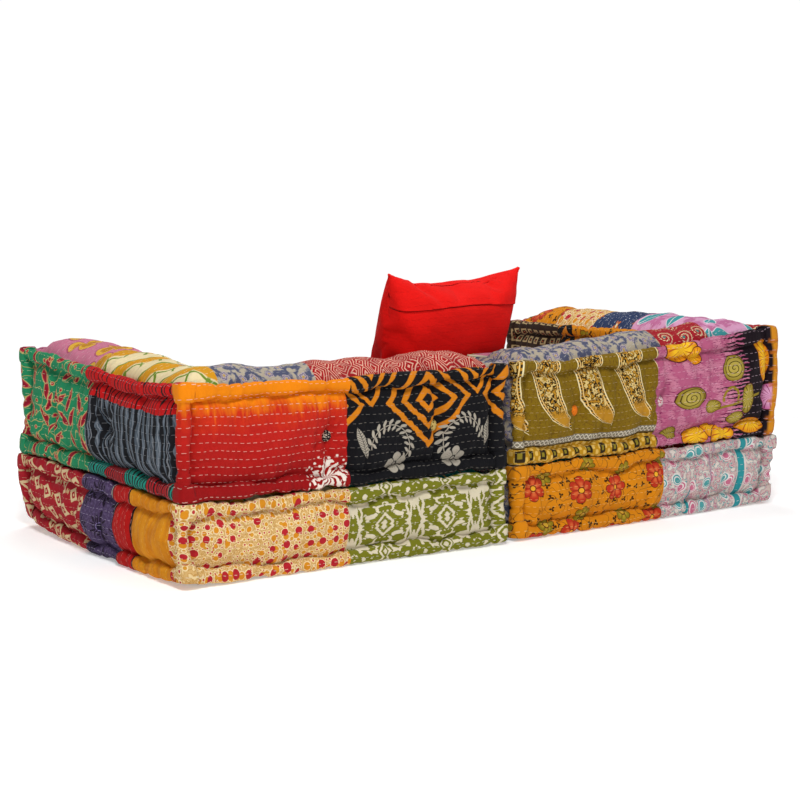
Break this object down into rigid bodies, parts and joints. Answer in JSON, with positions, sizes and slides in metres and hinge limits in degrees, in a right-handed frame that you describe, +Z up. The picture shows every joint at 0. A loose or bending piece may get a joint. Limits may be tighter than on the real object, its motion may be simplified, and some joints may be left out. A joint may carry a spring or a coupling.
{
  "type": "modular pouf",
  "caption": "Modular floor sofa of two tufted patchwork corner poufs, each a mattress base with an L-shaped bolster on it, and a plain-backed throw pillow",
  "frame": {"origin": "On the floor, under the middle of the bounding box of the whole set", "axes": "+X along the row from the left unit to the right one, +Y from the backs to the open front, +Z up"},
  "size_m": [1.5718, 0.788, 0.5454],
  "materials": {
    "cotton_filling": "matte",
    "covered_button": "matte",
    "crimson_patchwork": "matte",
    "dark_motif_cotton": "matte",
    "dotted_cream_cotton": "matte",
    "green_leaf_cotton": "matte",
    "grey_floral_cotton": "matte",
    "olive_paisley_cotton": "matte",
    "orange_floral_cotton": "matte",
    "pink_paisley_cotton": "matte",
    "red_plain_cotton": "matte",
    "red_tie_dye_cotton": "matte",
    "seat_patchwork": "matte",
    "underside_canvas": "matte",
    "waxed_twine": "matte"
  },
  "bodies": {
    "left_base": {"left_base_arm_panel": "crimson_patchwork", "left_base_back_panel": "dotted_cream_cotton", "left_base_buttons": "covered_button", "left_base_filling": "cotton_filling", "left_base_front_panel": "orange_floral_cotton", "left_base_join_panel": "dotted_cream_cotton", "left_base_top": "seat_patchwork", "left_base_twine": "waxed_twine", "left_base_underside": "underside_canvas"},
    "left_bolster": {"left_bolster_arm_end_panel": "green_leaf_cotton", "left_bolster_arm_filling": "cotton_filling", "left_bolster_arm_panel": "green_leaf_cotton", "left_bolster_back_end_panel": "dark_motif_cotton", "left_bolster_back_filling": "cotton_filling", "left_bolster_back_panel": "red_tie_dye_cotton", "left_bolster_buttons": "covered_button", "left_bolster_inner_arm_panel": "olive_paisley_cotton", "left_bolster_inner_back_panel": "red_tie_dye_cotton", "left_bolster_top": "grey_floral_cotton", "left_bolster_twine": "waxed_twine", "left_bolster_underside": "underside_canvas"},
    "right_base": {"right_base_arm_panel": "pink_paisley_cotton", "right_base_back_panel": "orange_floral_cotton", "right_base_buttons": "covered_button", "right_base_filling": "cotton_filling", "right_base_front_panel": "crimson_patchwork", "right_base_join_panel": "orange_floral_cotton", "right_base_top": "seat_patchwork", "right_base_twine": "waxed_twine", "right_base_underside": "underside_canvas"},
    "right_bolster": {"right_bolster_arm_end_panel": "pink_paisley_cotton", "right_bolster_arm_filling": "cotton_filling", "right_bolster_arm_panel": "pink_paisley_cotton", "right_bolster_back_end_panel": "olive_paisley_cotton", "right_bolster_back_filling": "cotton_filling", "right_bolster_back_panel": "olive_paisley_cotton", "right_bolster_buttons": "covered_button", "right_bolster_inner_arm_panel": "dark_motif_cotton", "right_bolster_inner_back_panel": "crimson_patchwork", "right_bolster_top": "grey_floral_cotton", "right_bolster_twine": "waxed_twine", "right_bolster_underside": "underside_canvas"},
    "pillow": {"pillow_back_lower": "red_plain_cotton", "pillow_back_upper": "red_plain_cotton", "pillow_front": "pink_paisley_cotton", "pillow_pad": "cotton_filling"}
  },
  "joints": [
    {"name": "right_unit_slide", "type": "slide", "parent": "left_base", "child": "right_base", "axis": [1, 0, 0], "range_m": [0, 0.5]},
    {"name": "left_bolster_lift", "type": "slide", "parent": "left_base", "child": "left_bolster", "axis": [0, -0.5, 0.866], "range_m": [0, 0.35]},
    {"name": "right_bolster_lift", "type": "slide", "parent": "right_base", "child": "right_bolster", "axis": [0, -0.5, 0.866], "range_m": [0, 0.35]},
    {"name": "pillow_lift", "type": "slide", "parent": "right_base", "child": "pillow", "axis": [0, 0, 1], "range_m": [0, 0.45]}
  ]
}
